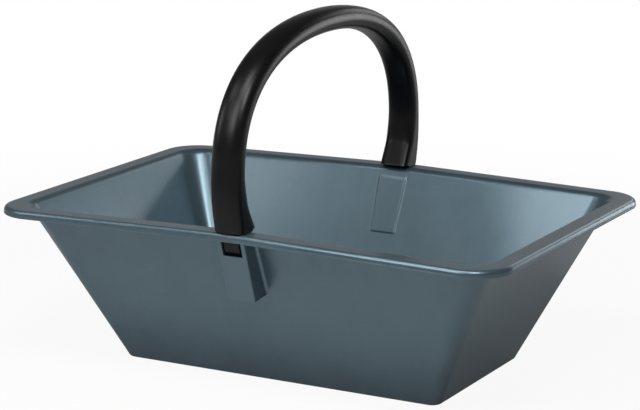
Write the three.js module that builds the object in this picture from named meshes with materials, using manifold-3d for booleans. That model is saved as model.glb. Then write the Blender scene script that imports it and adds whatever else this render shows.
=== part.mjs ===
// Harvest basket: a moulded tub with a flanged rim, and an arched handle that clips into two sockets.
// Millimetres, +Z up. The origin is under the middle of the base, and the long side runs along X.

import * as THREE from 'three';
import { mergeVertices } from 'three/addons/utils/BufferGeometryUtils.js';
import Module from 'manifold-3d';

const wasm = await Module();
wasm.setup();

// Tub
const rimLength = 500; // over the outer edges of the rim
const rimWidth = 335;
const rimHeight = 147.5; // top of the rim at its ends
const rimPeak = 4.2; // how much the long rims rise from their corners to the handle at mid-length
const rimCornerRadius = 36;
const rimEdgeRadius = 4.2; // rounding of the rim's outer top edge
const mouthEdgeRadius = 4.5; // rounding between the rim's top and the inside of the wall
const flangeWidth = 20; // from the outside of the wall to the rim's outer edge
const flangeThickness = 2.8;
const lipDepth = 7; // from the rim's top to the lower edge of its turned-down lip
const lipThickness = 2.5;
const mouthCornerRadius = 25; // outside of the wall, under the flange
const baseLength = 318;
const baseWidth = 169;
const baseCornerRadius = 9;
const wallThickness = 2.5;
const floorThickness = 3;
const floorFillet = 5; // inside, between the floor and the walls
const leastRadius = 0.5; // a corner never gets sharper than this

// Handle sockets, one on the middle of each long wall
const legLean = 18.3; // degrees from upright, for the socket and for the leg that enters it
const socketWidth = 27;
const socketDepth = 64.4; // from the rim's top to the lower front edge
const socketSetback = 2.7; // from the rim's outer edge to the socket's face, at the height of the rim's top
const socketEndRise = 5; // the lower end climbs this much from its front edge to the wall
const slotMargin = 0.7; // from the outside of the wall to the slot in the flange
const windowWidth = 19;
const windowHeight = 14.5;
const windowDrop = 7; // from the rim's top to the upper edge of the window
const bossDrop = 9.5; // from the rim's top to the top of the boss inside the wall, behind the socket
const bossTopWidth = 28;
const bossTopRise = 1.5; // how far the boss stands out of the wall
const bossFootWidth = 25;
const bossFootRise = 0.8;

// Handle
const handleWidth = 29.2; // along X
const handleThickness = 21.4;
const handleEdgeRadius = 9.5;
const handleRise = 171.7; // from the rim's top to the top of the arch
const footSetback = 0.5; // from the rim's outer edge to the outside of the leg
const legReach = 98.5; // how far the leg keeps its lean before it turns into the arch
const crownReach = 136; // how flat the top of the arch is, each way from the middle
const footSpread = 7; // how far the inside of the leg spreads at its foot
const footSpreadHeight = 28; // where the spread starts, above the rim
const tongueTip = 3; // thickness of the tongue at its lower end
const tongueRoot = 5; // how far the tongue runs up into the leg

// Snap tabs, the springy fingers in the tongues
const tabWidth = 15;
const tabThickness = 2.2;
const tabGap = 2.4; // room behind the finger to bend into
const tabRootDrop = 4.5; // from the rim's top to the root of the finger
const tabTail = 3; // the finger reaches this far below the window
const catchRecess = 0.6; // from the socket's face in to the face of the catch
const catchPlay = 0.5; // above and below the catch in its window
const catchRamp = 4; // height of the slope that leads the catch in
const webLeast = 1.5; // the web behind the finger ends where it gets this thin

// Fits
const seatGap = 0.3; // between pieces that rest on each other
const slideFit = 0.4; // all round a tongue in its socket
const pocketMargin = 0.5; // material left on the wall inside the socket
const cutMargin = 2; // cutting shapes run this far past what they cut

// Facets
const cornerSteps = 6; // in a quarter round
const edgeSteps = 3; // in a rounded edge
const sideSteps = 8; // along a long side, an even count so that one point is at its peak
const archSteps = 36; // along the handle

// Heights and slopes that follow from the sizes above
const seatHeight = rimHeight + rimPeak; // rim's top at mid-length, where the handle stands
const wallTop = rimHeight - flangeThickness; // underside of the flange at the ends
const mouthHalf = rimWidth / 2 - flangeWidth;
const flare = (mouthHalf - baseWidth / 2) / wallTop;
const wallRun = wallThickness * Math.hypot(1, flare); // wall thickness measured level
const lean = THREE.MathUtils.degToRad(legLean);
const plateRun = wallThickness / Math.cos(lean); // socket's front plate measured level
const fitRun = slideFit / Math.cos(lean);
const fingerRun = tabThickness / Math.cos(lean);
const slotOuter = rimWidth / 2 - socketSetback - plateRun;
const slotInner = mouthHalf + slotMargin;
const socketFoot = seatHeight - socketDepth;
const windowTop = seatHeight - windowDrop;
const windowFoot = windowTop - windowHeight;

// Half-distances across the basket at mid-length, by height
function wallOutside(height) {
  return baseWidth / 2 + (mouthHalf - baseWidth / 2) * height / (wallTop * seatHeight / rimHeight);
}

function socketFace(height) {
  return rimWidth / 2 - socketSetback - (seatHeight - height) * Math.tan(lean);
}

function plateInside(height) {
  return socketFace(height) - plateRun;
}

function tongueFace(height) {
  return plateInside(height) - fitRun;
}

// Closed meshes to solids for joining and cutting, and back
function solid(geometry) {
  const bare = new THREE.BufferGeometry();
  bare.setAttribute('position', geometry.getAttribute('position').clone());
  bare.setIndex(geometry.getIndex());
  const merged = mergeVertices(bare);
  return new wasm.Manifold(new wasm.Mesh({
    numProp: 3,
    vertProperties: new Float32Array(merged.getAttribute('position').array),
    triVerts: new Uint32Array(merged.getIndex().array),
  }));
}

function geometryOf(body) {
  const { vertProperties, triVerts } = body.getMesh();
  const geometry = new THREE.BufferGeometry();
  geometry.setAttribute('position', new THREE.BufferAttribute(vertProperties, 3));
  geometry.setIndex(new THREE.BufferAttribute(triVerts, 1));
  geometry.computeVertexNormals();
  return geometry;
}

// Rounded oblong, counter-clockwise, with extra points along the two sides that run along the first axis
function oblong(length, width, radius, steps) {
  const points = [];
  const x = length / 2 - radius;
  const y = width / 2 - radius;
  const corners = [[x, y], [-x, y], [-x, -y], [x, -y]];
  corners.forEach(([cx, cy], quarter) => {
    for (let i = 0; i <= cornerSteps; i++) {
      const angle = (quarter + i / cornerSteps) * Math.PI / 2;
      points.push(new THREE.Vector2(cx + radius * Math.cos(angle), cy + radius * Math.sin(angle)));
    }
    const long = quarter % 2 === 0;
    for (let i = 1; long && i < steps; i++) {
      points.push(new THREE.Vector2(THREE.MathUtils.lerp(cx, -cx, i / steps), Math.sign(cy) * width / 2));
    }
  });
  return points;
}

// Skin over a row of rings with equal counts, closed by a fan at each end
function loft(rings) {
  const count = rings[0].length;
  const points = rings.flat();
  const faces = [];
  for (let r = 0; r + 1 < rings.length; r++) {
    for (let i = 0; i < count; i++) {
      const a = r * count + i;
      const b = r * count + (i + 1) % count;
      faces.push(a, b, b + count, a, b + count, a + count);
    }
  }
  const middle = (ring) => ring.reduce((sum, p) => sum.add(p), new THREE.Vector3()).divideScalar(count);
  const first = points.push(middle(rings[0])) - 1;
  const last = points.push(middle(rings.at(-1))) - 1;
  const end = (rings.length - 1) * count;
  for (let i = 0; i < count; i++) {
    const next = (i + 1) % count;
    faces.push(first, next, i);
    faces.push(last, end + i, end + next);
  }
  const geometry = new THREE.BufferGeometry().setFromPoints(points);
  geometry.setIndex(faces);
  return solid(geometry);
}

// Solid of one width along X, from a profile of [distance out from the middle, height] on the front side
function prism(profile, width) {
  const shape = new THREE.Shape(profile.map(([out, height]) => new THREE.Vector2(out, height)));
  const geometry = new THREE.ExtrudeGeometry(shape, { depth: width, bevelEnabled: false });
  const out = new THREE.Vector3(0, -1, 0);
  const up = new THREE.Vector3(0, 0, 1);
  const across = new THREE.Vector3(-1, 0, 0);
  geometry.translate(0, 0, -width / 2);
  geometry.applyMatrix4(new THREE.Matrix4().makeBasis(out, up, across));
  return solid(geometry);
}

// The same solid on the front and on the rear
function bothSides(body) {
  return body.add(body.rotate([0, 0, 180]));
}

// Ring of the tub: an oblong at a height, rising to the middle of its long sides
function tubRing(length, width, radius, height) {
  const reach = rimLength / 2 - rimCornerRadius;
  return oblong(length, width, Math.max(radius, leastRadius), sideSteps).map(({ x, y }) => {
    const rise = rimPeak * Math.max(0, 1 - Math.abs(x) / reach) * height / rimHeight;
    return new THREE.Vector3(x, y, height + rise);
  });
}

function wallRing(height, inset) {
  const share = height / wallTop;
  const length = THREE.MathUtils.lerp(baseLength, rimLength - 2 * flangeWidth, share) - 2 * inset;
  const width = THREE.MathUtils.lerp(baseWidth, rimWidth - 2 * flangeWidth, share) - 2 * inset;
  const radius = THREE.MathUtils.lerp(baseCornerRadius, mouthCornerRadius, share) - inset;
  return tubRing(length, width, radius, height);
}

function rimRing(height, inset) {
  return tubRing(rimLength - 2 * inset, rimWidth - 2 * inset, rimCornerRadius - inset, height);
}

// Quarter round as [way along the first side, way along the second side], each from 0 to 1
function quarterRound() {
  return Array.from({ length: edgeSteps + 1 }, (_, i) => {
    const angle = i / edgeSteps * Math.PI / 2;
    return [1 - Math.cos(angle), Math.sin(angle)];
  });
}

function makeShell() {
  const rings = [
    wallRing(0, 0),
    wallRing(wallTop, 0),
    rimRing(wallTop, lipThickness),
    rimRing(rimHeight - lipDepth, lipThickness),
    rimRing(rimHeight - lipDepth, 0),
  ];
  for (const [inward, up] of quarterRound()) {
    rings.push(rimRing(rimHeight + rimEdgeRadius * (up - 1), rimEdgeRadius * inward));
  }
  for (const [down, inward] of quarterRound()) {
    rings.push(wallRing(rimHeight - mouthEdgeRadius * down, wallRun + mouthEdgeRadius * (inward - 1)));
  }
  for (const [inward, down] of quarterRound()) {
    rings.push(wallRing(floorThickness + floorFillet * (1 - down), wallRun + floorFillet * inward));
  }
  return loft(rings);
}

// The boss narrows and sinks into the wall towards its foot
function makeBoss(foot) {
  const level = (height, width, rise) => {
    const inside = wallOutside(height) - wallRun;
    const back = -inside - wallRun / 2;
    const face = -inside + rise;
    const corners = [[width / 2, back], [width / 2, face], [-width / 2, face], [-width / 2, back]];
    return corners.map(([x, y]) => new THREE.Vector3(x, y, height));
  };
  return loft([
    level(foot, bossFootWidth, bossFootRise),
    level(seatHeight - bossDrop, bossTopWidth, bossTopRise),
  ]);
}

function makeTub() {
  const inFlange = seatHeight - flangeThickness / 2;
  const wallMeet = socketFoot + socketEndRise;
  const socket = prism([
    [socketFace(inFlange), inFlange],
    [socketFace(socketFoot), socketFoot],
    [wallOutside(wallMeet) - wallRun / 2, wallMeet],
    [wallOutside(inFlange) - wallRun / 2, inFlange],
  ], socketWidth);
  const boss = makeBoss(wallMeet);
  const above = seatHeight + cutMargin;
  const below = socketFoot - cutMargin;
  const underFlange = seatHeight - flangeThickness;
  const pocket = prism([
    [plateInside(above), above],
    [plateInside(below), below],
    [wallOutside(below) + pocketMargin, below],
    [slotInner, underFlange],
    [slotInner, above],
  ], socketWidth - 2 * wallThickness);
  const window = prism([
    [socketFace(windowTop) + cutMargin, windowTop],
    [plateInside(windowTop) - cutMargin, windowTop],
    [plateInside(windowFoot) - cutMargin, windowFoot],
    [socketFace(windowFoot) + cutMargin, windowFoot],
  ], windowWidth);
  const joined = makeShell().add(bothSides(socket)).add(bothSides(boss));
  return joined.subtract(bothSides(pocket)).subtract(bothSides(window));
}

// The handle's middle line, from under the front leg over the arch to under the rear leg
function handlePath() {
  const foot = rimWidth / 2 - footSetback - handleThickness / 2 / Math.cos(lean);
  const crown = seatHeight + handleRise - handleThickness / 2;
  const leaning = (side, run) => new THREE.Vector3(
    0,
    side * (foot + run * Math.sin(lean)),
    seatHeight + run * Math.cos(lean),
  );
  const top = new THREE.Vector3(0, 0, crown);
  const path = new THREE.CurvePath();
  path.add(new THREE.LineCurve3(leaning(-1, -handleThickness), leaning(-1, 0)));
  path.add(new THREE.CubicBezierCurve3(
    leaning(-1, 0), leaning(-1, legReach), new THREE.Vector3(0, -crownReach, crown), top));
  path.add(new THREE.CubicBezierCurve3(
    top, new THREE.Vector3(0, crownReach, crown), leaning(1, legReach), leaning(1, 0)));
  path.add(new THREE.LineCurve3(leaning(1, 0), leaning(1, -handleThickness)));
  return path;
}

function makeArch() {
  const path = handlePath();
  const section = oblong(handleThickness, handleWidth, handleEdgeRadius, 1);
  const rings = [];
  for (let i = 0; i <= archSteps; i++) {
    const centre = path.getPointAt(i / archSteps);
    const ahead = path.getTangentAt(i / archSteps);
    const outward = new THREE.Vector3(0, -ahead.z, ahead.y);
    const nearFoot = THREE.MathUtils.clamp(1 - (centre.z - seatHeight) / footSpreadHeight, 0, 1);
    const spread = footSpread * nearFoot ** 2;
    rings.push(section.map((p) => {
      const out = p.x < 0 ? p.x - spread : p.x;
      return new THREE.Vector3(p.y, 0, 0).addScaledVector(outward, out).add(centre);
    }));
  }
  const belowSeat = new THREE.BoxGeometry(rimLength, 2 * rimWidth, rimHeight);
  belowSeat.translate(0, 0, seatHeight + seatGap - rimHeight / 2);
  return loft(rings).subtract(solid(belowSeat));
}

function makeHandle() {
  const tongueWidth = socketWidth - 2 * wallThickness - 2 * slideFit;
  const tongueInner = slotInner + slideFit;
  const depthAt = (thickness) => (slotOuter - fitRun - tongueInner - thickness) / Math.tan(lean);
  const root = seatHeight + seatGap + tongueRoot;
  const tip = seatHeight - depthAt(tongueTip);
  const tongue = prism([
    [tongueFace(root), root],
    [tongueFace(tip), tip],
    [tongueInner, tip],
    [tongueInner, root],
  ], tongueWidth);
  const fingerRoom = fingerRun + tabGap / Math.cos(lean);
  const recessTop = seatHeight - tabRootDrop + seatGap;
  const webFoot = seatHeight - depthAt(fingerRoom + webLeast);
  const below = tip - cutMargin;
  const recess = prism([
    [tongueFace(recessTop) + cutMargin, recessTop],
    [tongueFace(below) + cutMargin, below],
    [tongueInner - cutMargin, below],
    [tongueInner - cutMargin, webFoot],
    [tongueFace(webFoot) - fingerRoom, webFoot],
    [tongueFace(recessTop) - fingerRoom, recessTop],
  ], tabWidth + 2 * slideFit);
  return makeArch().add(bothSides(tongue)).subtract(bothSides(recess));
}

// Finger with its root at the top, and the catch that stands in the window
function makeSnapTab() {
  const root = seatHeight - tabRootDrop;
  const tail = windowFoot - tabTail;
  const catchTop = windowTop - catchPlay;
  const catchFoot = windowFoot + catchPlay;
  return prism([
    [tongueFace(root), root],
    [tongueFace(root) - fingerRun, root],
    [tongueFace(tail) - fingerRun, tail],
    [tongueFace(tail), tail],
    [tongueFace(catchFoot), catchFoot],
    [socketFace(catchFoot + catchRamp) - catchRecess, catchFoot + catchRamp],
    [socketFace(catchTop) - catchRecess, catchTop],
    [tongueFace(catchTop), catchTop],
  ], tabWidth);
}

const tubPlastic = new THREE.MeshStandardMaterial({ color: 0x5c6c74, roughness: 0.42, metalness: 0.2 });
const handlePlastic = new THREE.MeshStandardMaterial({ color: 0x1b1b1d, roughness: 0.45, metalness: 0 });

const basket = new THREE.Group();

function place(name, body, material) {
  const mesh = new THREE.Mesh(geometryOf(body), material);
  mesh.name = name;
  basket.add(mesh);
  return mesh;
}

place('tub', makeTub(), tubPlastic);
place('handle', makeHandle(), handlePlastic);
place('front_snap_tab', makeSnapTab(), handlePlastic);
place('rear_snap_tab', makeSnapTab(), handlePlastic).rotation.z = Math.PI;

export default basket;
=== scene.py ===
import math

import bmesh
import bpy
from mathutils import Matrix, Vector


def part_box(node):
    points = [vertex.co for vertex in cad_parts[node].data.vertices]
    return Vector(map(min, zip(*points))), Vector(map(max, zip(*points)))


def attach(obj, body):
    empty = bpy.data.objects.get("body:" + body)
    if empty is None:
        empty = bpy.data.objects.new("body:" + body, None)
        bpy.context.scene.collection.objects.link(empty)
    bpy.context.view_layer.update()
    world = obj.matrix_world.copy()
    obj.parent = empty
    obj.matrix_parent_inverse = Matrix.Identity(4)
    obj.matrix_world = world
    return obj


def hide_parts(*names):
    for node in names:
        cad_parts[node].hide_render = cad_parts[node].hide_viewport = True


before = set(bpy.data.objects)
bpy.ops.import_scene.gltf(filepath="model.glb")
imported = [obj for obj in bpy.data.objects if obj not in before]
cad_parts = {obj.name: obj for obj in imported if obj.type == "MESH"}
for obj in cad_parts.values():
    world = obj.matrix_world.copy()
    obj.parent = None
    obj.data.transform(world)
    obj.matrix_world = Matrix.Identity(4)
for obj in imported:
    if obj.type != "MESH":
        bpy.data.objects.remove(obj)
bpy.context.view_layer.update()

tubLow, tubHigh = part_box("tub")
handleLow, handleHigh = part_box("handle")
scene = bpy.context.scene
print("frame loaded:", ", ".join(sorted(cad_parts)))


# Small maths
def lerp(a, b, t):
    return a + (b - a) * t


def clamp(x):  # kept between 0 and 1
    return min(1, max(0, x))


def ease(low, high, x):  # 0 below low, 1 above high, smooth between
    t = clamp((x - low) / (high - low))
    return t * t * (3 - 2 * t)


def spread(low, high, count):  # count values from low to high, both included
    return [lerp(low, high, i / (count - 1)) for i in range(count)]


def quarterRound(count):  # pairs from (0, 0) to (1, 1) along a quarter circle
    return [(1 - math.cos(a), math.sin(a)) for a in spread(0, math.pi / 2, count)]


quarters = ((1, 1), (-1, 1), (-1, -1), (1, -1))  # signs of the corners, in turning order


def oblong(halfWidth, halfHeight, corner, steps=5):  # rounded rectangle about the origin
    points = []
    for quarter, (signX, signY) in enumerate(quarters):
        for a in spread(0, math.pi / 2, steps):
            turn = quarter * math.pi / 2 + a
            points.append((signX * (halfWidth - corner) + corner * math.cos(turn),
                           signY * (halfHeight - corner) + corner * math.sin(turn)))
    return points


# Mesh making
def skin(rings):  # closed skin over rings of equal counts, capped at both ends
    count = len(rings[0])
    points = [p for ring in rings for p in ring]
    faces = []
    for r in range(len(rings) - 1):
        for i in range(count):
            a, b = r * count + i, r * count + (i + 1) % count
            faces.append((a, b, b + count, a + count))
    faces.append(tuple(reversed(range(count))))
    faces.append(tuple(range(len(points) - count, len(points))))
    return points, faces


def newPiece(name, points, faces):
    mesh = bpy.data.meshes.new(name)
    mesh.from_pydata(points, [], faces)
    mesh.update()
    piece = bpy.data.objects.new(name, mesh)
    scene.collection.objects.link(piece)
    form = bmesh.new()
    form.from_mesh(mesh)
    bmesh.ops.recalc_face_normals(form, faces=form.faces)
    form.to_mesh(mesh)
    form.free()
    return piece


# profile holds (out, height) points, and side is -1 at the front and 1 at the rear
def prism(name, profile, width, side, bevel=0.0):
    rings = [[(side * x * width / 2, side * out, z) for out, z in profile] for x in (-1, 1)]
    piece = newPiece(name, *skin(rings))
    if bevel:
        form = bmesh.new()
        form.from_mesh(piece.data)
        bmesh.ops.bevel(form, geom=form.edges[:], offset=bevel, segments=3, profile=0.5, affect="EDGES")
        form.to_mesh(piece.data)
        form.free()
    return piece


def combine(piece, other, operation):  # other is used up
    cut = piece.modifiers.new("combine", "BOOLEAN")
    cut.solver = "EXACT"
    cut.operation = operation
    cut.object = other
    bpy.context.view_layer.update()
    view = bpy.context.evaluated_depsgraph_get()
    mesh = bpy.data.meshes.new_from_object(piece.evaluated_get(view))
    piece.modifiers.clear()
    old = piece.data
    piece.data = mesh
    mesh.name = piece.name
    bpy.data.meshes.remove(old)
    used = other.data
    bpy.data.objects.remove(other)
    bpy.data.meshes.remove(used)


def smooth(piece, angle=34):  # smooth shading that keeps real corners, with flat faces flat
    piece.data.shade_smooth()
    piece.data.set_sharp_from_angle(angle=math.radians(angle))
    normals = piece.modifiers.new("normals", "WEIGHTED_NORMAL")
    normals.keep_sharp = True
    normals.weight = 60


def settle(piece, node, body, material):
    piece.data.materials.clear()
    piece.data.materials.append(material)
    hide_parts(node)
    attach(piece, body)


# Shader writing: a socket that does arithmetic, and one method for every other node
class Wire:
    def __init__(self, graph, socket):
        self.graph = graph
        self.socket = socket

    def math(self, operation, a, b):
        return self.graph.add("Math", {"operation": operation}, {0: a, 1: b})

    def __add__(self, other):
        return self.math("ADD", self, other)

    def __radd__(self, other):
        return self.math("ADD", other, self)

    def __sub__(self, other):
        return self.math("SUBTRACT", self, other)

    def __rsub__(self, other):
        return self.math("SUBTRACT", other, self)

    def __mul__(self, other):
        return self.math("MULTIPLY", self, other)

    def __rmul__(self, other):
        return self.math("MULTIPLY", other, self)


class Graph:
    def __init__(self, tree):
        self.tree = tree
        self.tree.nodes.clear()

    def add(self, kind, settings=None, sockets=None, out=0):
        node = self.tree.nodes.new("ShaderNode" + kind)
        for key, value in (settings or {}).items():
            if key == "stops":
                self.setStops(node.color_ramp, value)
            else:
                setattr(node, key, value)
        for key, value in (sockets or {}).items():
            self.plug(self.find(node.inputs, key), value)
        return Wire(self, self.find(node.outputs, out)) if node.outputs else None

    def setStops(self, ramp, stops):
        while len(ramp.elements) < len(stops):
            ramp.elements.new(0.5)
        for element, (place, level) in zip(ramp.elements, stops):
            element.position = place
            element.color = (level, level, level, 1)

    def find(self, group, key):
        if isinstance(key, int):
            return group[key]
        for entry in group:
            if key in (entry.identifier, entry.name) and entry.enabled:
                return entry
        raise KeyError(key)

    def plug(self, entry, value):
        if isinstance(value, Wire):
            self.tree.links.new(value.socket, entry)
        else:
            entry.default_value = value

    def noise(self, place, scale, detail):
        sockets = {"Vector": place, "Scale": scale, "Detail": detail, "Roughness": 0.6}
        return self.add("TexNoise", None, sockets)

    def ramp(self, value, *stops):
        return self.add("ValToRGB", {"stops": stops}, {"Fac": value})

    def stretch(self, place, amounts):
        return self.add("VectorMath", {"operation": "MULTIPLY"}, {0: place, 1: amounts})

    def mix(self, amount, a, b):
        sockets = {"Factor_Float": amount, "A_Color": a, "B_Color": b}
        return self.add("Mix", {"data_type": "RGBA"}, sockets, "Result_Color")


def newMaterial(name):
    material = bpy.data.materials.new(name)
    material.use_nodes = True
    return material, Graph(material.node_tree)


def finishMaterial(graph, sockets):
    shader = graph.add("BsdfPrincipled", None, sockets)
    graph.add("OutputMaterial", None, {"Surface": shader})


# Grey-blue tub plastic: metallic pigment, satin moulding grain, faint flow streaks and handling scuffs
tubFinish = {
    "colour": (0.101, 0.154, 0.186, 1),
    "paleColour": (0.130, 0.191, 0.225, 1),
    "deepColour": (0.083, 0.130, 0.159, 1),
    "wornColour": (0.24, 0.30, 0.33, 1),
    "evenness": 0.55,  # share of the plain colour over the mottle
    "metallic": 0.65,
    "roughness": 0.34,
    "refraction": 1.5,
    "reflection": 0.3,
    "gloss": 0.24,
    "glossRoughness": 0.15,
    "grainScale": 1500,
    "grainStrength": 0.16,
    "grainDepth": 0.0002,
    "mottleScale": 11,
    "mottleRoughness": 0.10,
    "streakScale": 70,
    "streakStretch": (1, 1, 0.12),  # long up and down the walls
    "streakRoughness": 0.06,
    "scratchScale": 360,
    "scratchStretch": (0.15, 1, 0.6),
    "scratchPatchScale": 15,
    "scuffShare": 0.16,  # share of the worn colour in scuffs
    "scuffRoughness": 0.10,
    "scuffDepth": 0.4,  # beside the grain's 1
    "wearScale": 60,
    "wearShare": 0.3,  # share of the worn colour on worn edges
    "wearPolish": 0.05,
}


def makeTubPlastic():
    look = tubFinish
    material, graph = newMaterial("tubPlastic")
    place = graph.add("TexCoord", None, None, "Object")
    mottle = graph.noise(place, look["mottleScale"], 4)
    streak = graph.noise(graph.stretch(place, look["streakStretch"]), look["streakScale"], 3)
    grain = graph.noise(place, look["grainScale"], 3)
    scratch = graph.noise(graph.stretch(place, look["scratchStretch"]), look["scratchScale"], 2)
    patch = graph.ramp(graph.noise(place, look["scratchPatchScale"], 3), (0.52, 0), (0.68, 1))
    scuff = graph.ramp(scratch, (0.64, 0), (0.70, 1)) * patch
    edge = graph.ramp(graph.add("NewGeometry", None, None, "Pointiness"), (0.53, 0), (0.62, 1))
    worn = edge * graph.ramp(graph.noise(place, look["wearScale"], 3), (0.42, 0.15), (0.72, 1))

    tone = graph.mix(graph.ramp(mottle, (0.3, 0), (0.7, 1)), look["deepColour"], look["paleColour"])
    tone = graph.mix(look["evenness"], tone, look["colour"])
    tone = graph.mix(graph.ramp(streak, (0.35, 0), (0.75, 0.35)), tone, look["paleColour"])
    tone = graph.mix(worn * look["wearShare"] + scuff * look["scuffShare"], tone, look["wornColour"])
    rough = look["roughness"] + (mottle - 0.5) * look["mottleRoughness"]
    rough = rough + (streak - 0.5) * look["streakRoughness"]
    rough = rough + scuff * look["scuffRoughness"] - worn * look["wearPolish"]
    bump = graph.add("Bump", None, {
        "Strength": look["grainStrength"], "Distance": look["grainDepth"],
        "Height": grain + scuff * look["scuffDepth"]})
    finishMaterial(graph, {
        "Base Color": tone,
        "Metallic": look["metallic"],
        "Roughness": rough,
        "IOR": look["refraction"],
        "Specular IOR Level": look["reflection"],
        "Coat Weight": look["gloss"],
        "Coat Roughness": look["glossRoughness"],
        "Normal": bump,
    })
    return material


# Black handle plastic: satin, fine grain, polished a little where the hand goes
handleFinish = {
    "colour": (0.0024, 0.0024, 0.0028, 1),
    "paleColour": (0.0046, 0.0046, 0.0051, 1),
    "dustColour": (0.030, 0.030, 0.031, 1),
    "roughness": 0.32,
    "gripRoughness": 0.27,
    "gripStart": 0.72,  # share of the handle's height
    "refraction": 1.5,
    "reflection": 0.23,
    "grainScale": 1800,
    "grainStrength": 0.12,
    "grainDepth": 0.0002,
    "mottleScale": 26,
    "mottleRoughness": 0.08,
    "hairScale": 420,  # fine scratches along the arch
    "hairStretch": (1, 0.1, 0.1),
    "hairShare": 0.12,  # share of the dust colour in fine scratches
    "hairRoughness": 0.05,
    "edgeShare": 0.18,  # share of the dust colour on edges
}


def makeHandlePlastic():
    look = handleFinish
    material, graph = newMaterial("handlePlastic")
    place = graph.add("TexCoord", None, None, "Object")
    height = graph.add("SeparateXYZ", None, {0: place}, "Z")
    gripFoot = lerp(handleLow.z, handleHigh.z, look["gripStart"])
    grip = graph.add("MapRange", {"clamp": True}, {
        "Value": height, "From Min": gripFoot, "From Max": handleHigh.z})
    mottle = graph.noise(place, look["mottleScale"], 4)
    grain = graph.noise(place, look["grainScale"], 3)
    scratch = graph.noise(graph.stretch(place, look["hairStretch"]), look["hairScale"], 2)
    hair = graph.ramp(scratch, (0.66, 0), (0.72, 1))
    edge = graph.ramp(graph.add("NewGeometry", None, None, "Pointiness"), (0.54, 0), (0.66, 1))

    tone = graph.mix(graph.ramp(mottle, (0.3, 0), (0.75, 1)), look["colour"], look["paleColour"])
    tone = graph.mix(hair * look["hairShare"] + edge * look["edgeShare"], tone, look["dustColour"])
    rough = look["roughness"] + (look["gripRoughness"] - look["roughness"]) * grip
    rough = rough + (mottle - 0.5) * look["mottleRoughness"] + hair * look["hairRoughness"]
    bump = graph.add("Bump", None, {
        "Strength": look["grainStrength"], "Distance": look["grainDepth"], "Height": grain})
    finishMaterial(graph, {
        "Base Color": tone,
        "Roughness": rough,
        "IOR": look["refraction"],
        "Specular IOR Level": look["reflection"],
        "Normal": bump,
    })
    return material


tubPlastic = makeTubPlastic()
handlePlastic = makeHandlePlastic()
print("finishes written: tub plastic, handle plastic")

# Tub: flared oblong shell with a flanged rim, a socket outside and a boss inside each long wall
tub = {
    "rimPeak": 0.0042,  # how much the long rims rise from their corners to the handle
    "peakRound": 0.012,
    "rimCorner": 0.036,
    "rimRound": 0.0042,
    "mouthRound": 0.0045,
    "mouthCorner": 0.025,
    "flangeWidth": 0.020,
    "flangeThickness": 0.0028,
    "lipDepth": 0.007,
    "lipThickness": 0.0025,
    "lipRound": 0.0009,
    "lipHollow": 0.0001,  # between the rim's top edge and the bead along the lip's lower edge
    "beadHeight": 0.0017,
    "baseLength": 0.318,
    "baseWidth": 0.169,
    "baseCorner": 0.009,
    "baseRound": 0.0016,
    "wall": 0.0025,
    "floor": 0.003,
    "floorFillet": 0.005,
    "leastCorner": 0.0005,
    "outsideLevels": (0.012, 0.03, 0.05, 0.07, 0.082),  # heights of the plain wall's rings
    "insideLevels": (0.08, 0.06, 0.04, 0.022, 0.012),
    "floorRings": (2, 6),  # in from the walls, counted in fillets
    "cornerSteps": 18,
    "sideSteps": 11,
    "endSteps": 12,
    "roundSteps": 7,
    "lipSteps": 4,
}
socket = {
    "lean": math.radians(18.3),
    "width": 0.027,
    "depth": 0.0644,  # from the rim's top down to the lower front edge
    "setback": 0.0027,
    "endRise": 0.0050,
    "edgeRound": 0.0011,
    "fillet": 0.0030,
    "footClear": 0.0012,  # from the last plain ring up to the foot
    "footRise": 0.006,  # from the foot up to the first ring above its round
    "ringSteps": 9,
    "slotMargin": 0.0007,
    "slotChamfer": 0.0006,
    "pocketMargin": 0.0005,
    "pocketPast": 0.004,  # how far the pocket's cut runs on below the foot
    "cutCorner": 0.0012,  # corners of the slot, the pocket and the window
    "windowWidth": 0.019,
    "windowHeight": 0.0145,
    "windowDrop": 0.007,
    "windowRound": 0.0005,
    "windowProud": 0.00006,  # the rounded edge ends just outside the face
    "windowCut": (-0.006, 0.004),  # from behind the face to before it
    "windowSteps": 4,
    "faceColumns": (0, 0.004, 0.008, 0.0105),  # places along the wall where the rings have points
    "edgeColumns": (0.0118, 0.0134),
    "filletColumns": (0.0138, 0.0168),
    "wallColumns": (0.020, 0.026, 0.034, 0.044),
    "columnSteps": 5,
}
boss = {
    "drop": 0.0095,
    "topWidth": 0.028,
    "topRise": 0.0010,
    "footWidth": 0.025,
    "footRise": 0.0006,
    "sideEdge": 0.0013,  # half the width of the soft slope at each side
    "topEdge": 0.0030,
    "footEdge": 0.0011,
    "follow": 0.018,  # columns this near the middle lean with the boss's sides
    "topSteps": 8,
    "middleSteps": 9,
    "footSteps": 5,
}

rimLength = tubHigh.x - tubLow.x
rimWidth = tubHigh.y - tubLow.y
seat = tubHigh.z  # rim's top at mid-length, where the handle stands
rimTop = seat - tub["rimPeak"]  # rim's top at the ends
wallTop = rimTop - tub["flangeThickness"]
mouthLength = rimLength - 2 * tub["flangeWidth"]
mouthWidth = rimWidth - 2 * tub["flangeWidth"]
rise = seat / rimTop  # a ring's height at mid-length over its height at the ends
wallRun = tub["wall"] * math.hypot(1, (mouthWidth - tub["baseWidth"]) / 2 / wallTop)
socketFoot = seat - socket["depth"]
socketMeet = socketFoot + socket["endRise"]
plateRun = tub["wall"] / math.cos(socket["lean"])
windowTop = seat - socket["windowDrop"]
windowFoot = windowTop - socket["windowHeight"]
bossTop = seat - boss["drop"]


def wallOut(z):  # outside of a long wall at mid-length
    return lerp(tub["baseWidth"], mouthWidth, z / (wallTop * rise)) / 2


def socketOut(z):  # outer face of a socket
    return rimWidth / 2 - socket["setback"] - (seat - z) * math.tan(socket["lean"])


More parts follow.
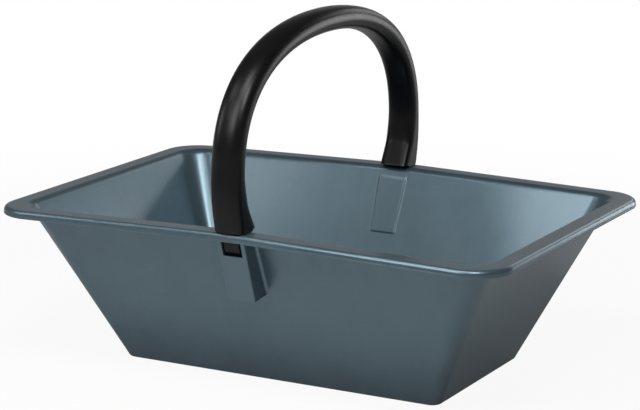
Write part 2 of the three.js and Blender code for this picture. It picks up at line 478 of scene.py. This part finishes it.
def peakDistance(x):  # distance from mid-length, eased at the peak
    return math.hypot(x, tub["peakRound"]) - tub["peakRound"]


def socketColumns():  # half of the level section, from the middle out: (kind, value, place on a plain wall)
    steps = socket["columnSteps"]
    angles = spread(0, math.pi / 2, steps)
    face = [("face", x, x) for x in socket["faceColumns"]]
    edge = [("edge", a, x) for a, x in zip(angles, spread(*socket["edgeColumns"], steps))]
    fillet = [("fillet", a, x) for a, x in zip(angles, spread(*socket["filletColumns"], steps))]
    wall = [("wall", x, x) for x in socket["wallColumns"]]
    return face + edge + fillet + wall


halfColumns = socketColumns()
columns = [(1, c) for c in reversed(halfColumns)] + [(-1, c) for c in halfColumns[1:]]
zone = socket["wallColumns"][-1]  # the columns reach this far from mid-length


def socketPoint(kind, value, wall, face, shrink):  # (across, out) on the socket's level section
    half = socket["width"] / 2 - shrink
    front = face - shrink
    edge, fillet = socket["edgeRound"], socket["fillet"]
    if kind == "face":
        return min(value, half - edge), front
    if kind == "edge":
        return half - edge + edge * math.sin(value), front - edge + edge * math.cos(value)
    if kind == "fillet":
        return half + fillet - fillet * math.cos(value), wall + fillet - fillet * math.sin(value)
    return value, wall


def risen(x, y, height):  # point of a ring, which rises to mid-length along the long sides
    reach = rimLength / 2 - tub["rimCorner"]
    share = max(0, 1 - peakDistance(x) / peakDistance(reach))
    return Vector((x, y, height * (1 + share * tub["rimPeak"] / rimTop)))


# ring round the tub, where shape(point, way, side, column) can move the points near a socket
def tubRing(length, width, corner, height, shape=None):
    corner = max(corner, tub["leastCorner"])
    steps = tub["sideSteps"]
    points = []
    for quarter, (way, side) in enumerate(quarters):
        x, y = way * (length / 2 - corner), side * (width / 2 - corner)
        for a in spread(0, math.pi / 2, tub["cornerSteps"] + 1):
            turn = quarter * math.pi / 2 + a
            points.append(risen(x + corner * math.cos(turn), y + corner * math.sin(turn), height))
        if quarter % 2:
            for i in range(1, tub["endSteps"]):
                points.append(risen(way * length / 2, lerp(y, -y, i / tub["endSteps"]), height))
            continue
        for i in range(1, steps):
            points.append(risen(lerp(x, way * zone, i / steps), side * width / 2, height))
        for sign, column in columns:
            point = risen(way * sign * column[2], side * width / 2, height)
            points.append(shape(point, way * sign, side, column) if shape else point)
        for i in range(1, steps):
            points.append(risen(lerp(-way * zone, -x, i / steps), side * width / 2, height))
    return points


def wallRing(height, inset, shape=None):
    share = height / wallTop
    length = lerp(tub["baseLength"], mouthLength, share) - 2 * inset
    width = lerp(tub["baseWidth"], mouthWidth, share) - 2 * inset
    corner = lerp(tub["baseCorner"], tub["mouthCorner"], share) - inset
    return tubRing(length, width, corner, height, shape)


def rimRing(height, inset):
    return tubRing(rimLength - 2 * inset, rimWidth - 2 * inset, tub["rimCorner"] - inset, height)


def socketRing(z, shrink=0.0, lift=0.0):  # at true height z on the wall, lower on the socket's slanted foot
    drop = socket["endRise"] * (1 - clamp((z - socketMeet) / (wallTop * rise - socketMeet)))

    def shape(point, way, side, column):
        kind, value, _ = column
        wall = abs(point.y)
        face = socketOut(z - drop + lift)
        across, out = socketPoint(kind, value, wall, face, shrink)
        part = (out - wall) / (face - wall)
        return Vector((way * across, side * out, point.z - (drop - lift) * part))

    return wallRing(z / rise, 0, shape)


def bossShare(z):  # 0 at the boss's foot, 1 at its top
    return clamp((z - socketMeet) / (bossTop - socketMeet))


def bossRise(x, z):
    share = bossShare(z)
    half = lerp(boss["footWidth"], boss["topWidth"], share) / 2
    level = lerp(boss["footRise"], boss["topRise"], share)
    slope = lerp(boss["footEdge"], boss["sideEdge"], share)
    sides = 1 - ease(half - slope, half + slope, abs(x))
    foot = ease(socketMeet - boss["footEdge"], socketMeet + boss["footEdge"], z)
    return level * sides * foot * (1 - ease(bossTop - boss["topEdge"], bossTop + boss["topEdge"], z))


def bossRing(height, inset):
    def shape(point, way, side, column):  # the columns follow the boss's narrowing sides
        narrow = lerp(boss["footWidth"] / boss["topWidth"], 1, bossShare(point.z))
        x = point.x * lerp(narrow, 1, ease(boss["follow"], zone, abs(point.x)))
        return Vector((x, point.y - side * bossRise(x, point.z), point.z))

    return wallRing(height, inset, shape)


def outsideRings():  # from the base's edge up the walls and sockets
    radius = tub["baseRound"]
    rings = [wallRing(radius * (1 - out), radius * inward)
             for inward, out in reversed(quarterRound(tub["roundSteps"]))]
    rings += [wallRing(z / rise, 0) for z in (*tub["outsideLevels"], socketMeet - socket["footClear"])]
    edge = socket["edgeRound"]
    bend = 0.3 * edge  # both ways at the middle of the foot's round
    rings += [socketRing(socketMeet, edge), socketRing(socketMeet + bend, bend, bend)]
    rings += [socketRing(socketMeet + edge, 0, edge)]
    levels = spread(socketMeet + socket["footRise"], wallTop * rise, socket["ringSteps"])
    return rings + [socketRing(z) for z in levels]


def rimRings():  # under the flange, round the lip, and over the rim into the mouth
    lip, thickness = tub["lipRound"], tub["lipThickness"]
    lipFoot = rimTop - tub["lipDepth"]
    lipCurve = quarterRound(tub["lipSteps"])
    rings = [rimRing(wallTop, thickness)]
    rings += [rimRing(lipFoot + lip * (1 - down), thickness - lip * inward) for inward, down in lipCurve]
    rings += [rimRing(lipFoot + lip * up, lip * (1 - out)) for up, out in lipCurve]
    hollow = tub["lipHollow"]
    bead = lipFoot + tub["beadHeight"]
    rings += [rimRing(bead + hollow * 2 * t, hollow * ease(0, 1, t)) for t in (0, 0.35, 0.7, 1)]
    radius = tub["rimRound"]
    curve = quarterRound(tub["roundSteps"])
    rings += [rimRing(rimTop - radius * (1 - up), hollow + (radius - hollow) * inward)
              for inward, up in curve]
    rings += [rimRing(rimTop, lerp(radius, tub["flangeWidth"], t)) for t in (0.35, 0.7)]
    mouth = tub["mouthRound"]
    return rings + [wallRing(rimTop - mouth * down, wallRun - mouth * (1 - inward))
                    for down, inward in curve]


def insideRings():  # down past the bosses to the floor
    edge, low = boss["topEdge"], boss["footEdge"]
    levels = spread(bossTop + edge, bossTop - edge, boss["topSteps"])[1:]
    levels += spread(bossTop - 2 * edge, socketMeet + 3 * low, boss["middleSteps"])
    levels += spread(socketMeet + low, socketMeet - low, boss["footSteps"])
    rings = [bossRing(z / rise, wallRun) for z in (*levels, *tub["insideLevels"])]
    floor, fillet = tub["floor"], tub["floorFillet"]
    rings += [wallRing(floor + fillet * (1 - down), wallRun + fillet * inward)
              for inward, down in quarterRound(tub["roundSteps"])]
    return rings + [wallRing(floor, wallRun + fillet * k) for k in tub["floorRings"]]


def pocketCutter(side):
    chamfer = socket["slotChamfer"]
    past = 2 * chamfer  # the chamfer runs on above the rim
    low = socketFoot - socket["pocketPast"]
    slotBack = mouthWidth / 2 + socket["slotMargin"]
    levels = [  # height, back, how much wider all round
        (low, wallOut(low) + socket["pocketMargin"], 0),
        (seat - tub["flangeThickness"], slotBack, 0),
        (seat - chamfer, slotBack, 0),
        (seat - chamfer + past, slotBack, past),
    ]
    rings = []
    for z, back, grow in levels:
        outer, inner = socketOut(z) - plateRun + grow, back - grow
        middle = (outer + inner) / 2
        halfWidth = socket["width"] / 2 - tub["wall"] + grow
        outline = oblong(halfWidth, (outer - inner) / 2, socket["cutCorner"] + grow)
        rings.append([(side * x, side * (middle + out), z) for x, out in outline])
    return newPiece("pocket_cutter", *skin(rings))


def windowCutter(side):
    middle = (windowTop + windowFoot) / 2
    radius = socket["windowRound"]
    behind, before = socket["windowCut"]
    edge = [(socket["windowProud"] - radius * (1 - up), radius * wide)
            for wide, up in quarterRound(socket["windowSteps"])]
    rings = []
    for out, grow in [(behind, 0)] + edge + [(before, radius)]:
        halfWidth, halfHeight = socket["windowWidth"] / 2 + grow, socket["windowHeight"] / 2 + grow
        outline = oblong(halfWidth, halfHeight, socket["cutCorner"])
        rings.append([(side * x, side * (socketOut(middle + up) + out), middle + up) for x, up in outline])
    return newPiece("window_cutter", *skin(rings))


tubPiece = newPiece("tub_shell", *skin(outsideRings() + rimRings() + insideRings()))
for side in (-1, 1):
    combine(tubPiece, pocketCutter(side), "DIFFERENCE")
    combine(tubPiece, windowCutter(side), "DIFFERENCE")
smooth(tubPiece)
settle(tubPiece, "tub", "tub", tubPlastic)
print("tub made:", len(tubPiece.data.polygons), "faces")

# Handle: arch of softly crowned oblong section, a tongue under each leg
handle = {
    "width": 0.0292,
    "thickness": 0.0213,
    "squareness": 2.4,  # 2 is an ellipse, higher is squarer
    "footSquareness": 4.2,
    "squareHeight": 0.055,  # above the rim, where the foot's squarer section has gone
    "footSetback": 0.0007,
    "footRound": 0.0007,
    "footLevel": 0.004,  # above the foot, the last level ring
    "footEnd": 0.035,  # share of the arch where the level rings give way to square ones
    "legReach": 0.0985,
    "crownReach": 0.136,
    "footSpread": 0.007,  # how far the inside of the leg spreads at its foot
    "footSpreadHeight": 0.028,
    "footSpreadSide": (-0.1, 0.9),  # from the middle inwards, where the spread starts and is whole
    "toeRaise": 0.0022,  # the spread toe stays this far off the rim
    "toeReach": 0.030,
    "toeEdge": 0.001,
    "seatGap": 0.0003,
    "archSteps": 120,
    "sectionSteps": 64,
    "footSteps": 5,
    "tongueTip": 0.003,
    "tongueRoot": 0.005,
    "fit": 0.0004,
    "edge": 0.0004,
}
tab = {
    "width": 0.015,
    "thickness": 0.0022,
    "gap": 0.0024,
    "rootDrop": 0.0045,
    "tail": 0.003,
    "catchRecess": 0.0006,
    "catchPlay": 0.0005,
    "catchRamp": 0.004,
    "webLeast": 0.0015,
    "edge": 0.0003,
}
leanCos, leanSin, leanTan = (k(socket["lean"]) for k in (math.cos, math.sin, math.tan))
fitRun = handle["fit"] / leanCos
fingerRun = tab["thickness"] / leanCos
legFoot = seat + handle["seatGap"]
tongueInner = mouthWidth / 2 + socket["slotMargin"] + handle["fit"]


def archPoint(t):  # middle line from the front foot, t = 0, over the crown to the rear foot, t = 1
    side, u = (-1, 2 * t) if t < 0.5 else (1, 2 - 2 * t)
    foot = rimWidth / 2 - handle["footSetback"] - handle["thickness"] / 2 / leanCos
    crown = handleHigh.z - handle["thickness"] / 2
    reach = handle["legReach"]
    a = Vector((0, side * foot, seat))
    b = Vector((0, side * (foot + reach * leanSin), seat + reach * leanCos))
    c = Vector((0, side * handle["crownReach"], crown))
    d = Vector((0, 0, crown))
    return a * (1 - u) ** 3 + b * 3 * u * (1 - u) ** 2 + c * 3 * u * u * (1 - u) + d * u ** 3


def archFrame(t):  # point, direction along the arch, direction out of it
    step = 1e-4
    before, after = archPoint(max(0, t - step)), archPoint(min(1, t + step))
    ahead = (after - before).normalized()
    return archPoint(t), ahead, Vector((0, -ahead.z, ahead.y))


def handleSection(height, inset=0.0):  # (across, out) points of a superellipse, squarer near the rim
    share = ease(0, handle["squareHeight"], height - seat)
    power = 2 / lerp(handle["footSquareness"], handle["squareness"], share)
    points = []
    for i in range(handle["sectionSteps"]):
        a = 2 * math.pi * i / handle["sectionSteps"]
        c, s = math.cos(a), math.sin(a)
        points.append((math.copysign(abs(c) ** power, c) * (handle["width"] / 2 - inset),
                       math.copysign(abs(s) ** power, s) * (handle["thickness"] / 2 - inset)))
    return points


def spreadFoot(p, away):  # the inside of the leg spreads towards its foot
    near = clamp(1 - (p.z - seat) / handle["footSpreadHeight"])
    inner = ease(*handle["footSpreadSide"], -away / (handle["thickness"] / 2))
    return p - Vector((0, math.copysign(handle["footSpread"] * near ** 2 * inner, p.y), 0))


def footRing(side, height, inset):  # level ring, by sliding the section along the leg
    centre, ahead, out = archFrame(0 if side < 0 else 1)
    ring = []
    for across, away in handleSection(height, inset):
        p = centre + Vector((across, 0, 0)) + out * away
        ring.append(spreadFoot(p + ahead * ((height - p.z) / ahead.z), away))
    return ring


def makeArch():
    radius = handle["footRound"]
    feet = [(legFoot + radius * (1 - out), radius * inward)
            for inward, out in reversed(quarterRound(handle["footSteps"]))]
    feet += [(legFoot + handle["footLevel"], 0)]
    rings = [footRing(-1, z, inset) for z, inset in feet]
    for t in spread(handle["footEnd"], 1 - handle["footEnd"], handle["archSteps"]):
        centre, ahead, out = archFrame(t)
        rings.append([spreadFoot(centre + Vector((across, 0, 0)) + out * away, away)
                      for across, away in handleSection(centre.z)])
    rings += [footRing(1, z, inset) for z, inset in reversed(feet)]
    return newPiece("carrying_handle", *skin(rings))


def tongueOut(z):
    return socketOut(z) - plateRun - fitRun


def tongueDepth(thickness):  # below the rim, where the tapering tongue is this thick
    return (tongueOut(seat) - tongueInner - thickness) / leanTan


def tongueBody(side):
    root = legFoot + handle["tongueRoot"]
    tip = seat - tongueDepth(handle["tongueTip"])
    width = socket["width"] - 2 * tub["wall"] - 2 * handle["fit"]
    profile = [(tongueOut(root), root), (tongueOut(tip), tip), (tongueInner, tip), (tongueInner, root)]
    return prism("tongue", profile, width, side, handle["edge"])


def fingerRecess(side):
    past = 0.002  # the cut runs out of the tongue by this
    room = fingerRun + tab["gap"] / leanCos
    top = legFoot - tab["rootDrop"]
    web = seat - tongueDepth(room + tab["webLeast"])
    low = seat - tongueDepth(handle["tongueTip"]) - past
    profile = [
        (tongueOut(top) + past, top), (tongueOut(low) + past, low), (tongueInner - past, low),
        (tongueInner - past, web), (tongueOut(web) - room, web), (tongueOut(top) - room, top),
    ]
    return prism("finger_recess", profile, tab["width"] + 2 * handle["fit"], side)


def toeRelief(side):
    edge = handle["toeEdge"]
    low, top = seat - edge, legFoot + handle["toeRaise"]
    far, near = mouthWidth / 2 - handle["toeReach"], tongueInner - handle["fit"]
    profile = [(near, low), (far, low), (far, top), (near - edge, top), (near, top - edge)]
    return prism("toe_relief", profile, 2 * handle["width"], side)


def snapTab(name, side):
    root, tail = seat - tab["rootDrop"], windowFoot - tab["tail"]
    top, foot = windowTop - tab["catchPlay"], windowFoot + tab["catchPlay"]
    face = foot + tab["catchRamp"]
    profile = [
        (tongueOut(root), root), (tongueOut(root) - fingerRun, root),
        (tongueOut(tail) - fingerRun, tail), (tongueOut(tail), tail), (tongueOut(foot), foot),
        (socketOut(face) - tab["catchRecess"], face), (socketOut(top) - tab["catchRecess"], top),
        (tongueOut(top), top),
    ]
    return prism(name, profile, tab["width"], side, tab["edge"])


archPiece = makeArch()
for side in (-1, 1):
    combine(archPiece, tongueBody(side), "UNION")
    combine(archPiece, fingerRecess(side), "DIFFERENCE")
    combine(archPiece, toeRelief(side), "DIFFERENCE")
smooth(archPiece)
settle(archPiece, "handle", "handle", handlePlastic)
for name, side in (("front_snap_tab", -1), ("rear_snap_tab", 1)):
    piece = snapTab(name + "_moulding", side)
    smooth(piece)
    settle(piece, name, "handle", handlePlastic)
print("handle made:", len(archPiece.data.polygons), "faces, with two snap tabs")

# Floor, light and camera
studio = {
    "floorColour": (0.755, 0.755, 0.755, 1),
    "floorRadius": 14.0,
    "floorSides": 96,
    "floorDrop": 0.0002,
    "floorClear": (0.45, 1.1, 0.93, 1.0),  # to the camera: from where to where it whitens, from what to what
    "floorGlow": (1.0, 3.0, 0.1, 1.0),  # the same for reflections
    "ambient": 0.09,
    "backdropTop": (14, 32),  # degrees up, where the backdrop fades in reflections and where it is gone
    "backdropGlow": 0.08,
    "target": (0, 0, 0.12),
    "lamps": [  # name, degrees round from the front, degrees up, distance, width, height, share of light
        ("topBox", 0, 65, 0.75, 0.24, 0.24, 0.25),
        ("frontBox", -7, 40, 0.70, 0.25, 0.25, 0.28),
        ("leftBox", -55, 28, 0.75, 0.18, 0.20, 0.09),
        ("edgeBox", -52, 52, 1.30, 0.20, 0.14, 0.05),
        ("cornerBox", 38, 54, 1.10, 0.24, 0.30, 0.36),
        ("rearBox", 152, 7, 1.30, 0.20, 0.52, 0.12),
        ("rimPanel", -151, 14, 1.30, 1.10, 0.50, 0.018),
        ("rearPanel", 172, 24, 1.30, 0.55, 0.45, 0.07),
    ],
}
shot = {
    "eye": (0.9993, -1.8262, 0.6259),
    "azimuth": 28.73,
    "elevation": 13.05,
    "lens": 132.33,
    "sensor": 36.0,
}
white = (1, 1, 1, 1)


def seenRays(graph):  # 1 where the camera looks straight, and 1 where a reflection or glass is between
    camera, glossy, clear = (graph.add("LightPath", None, None, "Is " + kind + " Ray")
                             for kind in ("Camera", "Glossy", "Transmission"))
    return camera, glossy + clear


def fade(graph, value, near, far, start, end):  # start up to near, end from far on, smooth between
    sockets = {"Value": value, "From Min": near, "From Max": far, "To Min": start, "To Max": end}
    return graph.add("MapRange", {"interpolation_type": "SMOOTHSTEP"}, sockets)


def makeFloor():
    turns = spread(0, 2 * math.pi, studio["floorSides"] + 1)[:-1]
    edge = [Vector((math.cos(a), math.sin(a), 0)) * studio["floorRadius"] for a in turns]
    floor = newPiece("floor", edge, [tuple(range(len(edge)))])
    floor.location.z = -studio["floorDrop"]
    material, graph = newMaterial("paleFloor")
    place = graph.add("TexCoord", None, None, "Object")
    distance = graph.add("VectorMath", {"operation": "LENGTH"}, {0: place}, "Value")
    direct, reflected = seenRays(graph)
    shown = direct * fade(graph, distance, *studio["floorClear"])
    shown = shown + reflected * fade(graph, distance, *studio["floorGlow"])
    lit = graph.add("BsdfDiffuse", None, {"Color": studio["floorColour"]})
    glow = graph.add("Emission", None, {"Color": white, "Strength": 1.0})
    surface = graph.add("MixShader", None, {0: shown, 1: lit, 2: glow})
    graph.add("OutputMaterial", None, {"Surface": surface})
    floor.data.materials.append(material)


def makeLamp(name, around, up, distance, width, height, share):
    light = bpy.data.lights.new(name, "AREA")
    light.shape = "RECTANGLE"
    light.size, light.size_y = width, height
    light.energy = share * (math.pi * distance) ** 2
    turn, tilt = math.radians(around), math.radians(up)
    away = Vector((math.sin(turn) * math.cos(tilt), -math.cos(turn) * math.cos(tilt), math.sin(tilt)))
    lamp = bpy.data.objects.new(name, light)
    lamp.location = Vector(studio["target"]) + away * distance
    lamp.rotation_euler = (-away).to_track_quat("-Z", "Y").to_euler()
    scene.collection.objects.link(lamp)


def makeWorld():  # little light of its own, and a backdrop white to the camera and faint in reflections
    world = bpy.data.worlds.new("studio")
    world.use_nodes = True
    graph = Graph(world.node_tree)
    height = graph.add("SeparateXYZ", None, {0: graph.add("TexCoord", None, None, "Generated")}, "Z")
    low, high = (math.sin(math.radians(up)) for up in studio["backdropTop"])
    backdrop = fade(graph, height, low, high, studio["backdropGlow"], 0.0)
    direct, reflected = seenRays(graph)
    strength = studio["ambient"] + direct * (1 - studio["ambient"]) + reflected * backdrop
    sky = graph.add("Background", None, {"Color": white, "Strength": strength})
    graph.add("OutputWorld", None, {"Surface": sky})
    scene.world = world


def makeCamera():
    data = bpy.data.cameras.new("camera")
    data.sensor_fit = "HORIZONTAL"
    data.sensor_width = shot["sensor"]
    data.lens = shot["lens"]
    camera = bpy.data.objects.new("camera", data)
    camera.location = shot["eye"]
    camera.rotation_euler = (math.radians(90 - shot["elevation"]), 0, math.radians(shot["azimuth"]))
    scene.collection.objects.link(camera)
    scene.camera = camera


makeFloor()
for lamp in studio["lamps"]:
    makeLamp(*lamp)
makeWorld()
makeCamera()
scene.view_settings.view_transform = "Standard"
print("studio set: floor, lamps and camera")
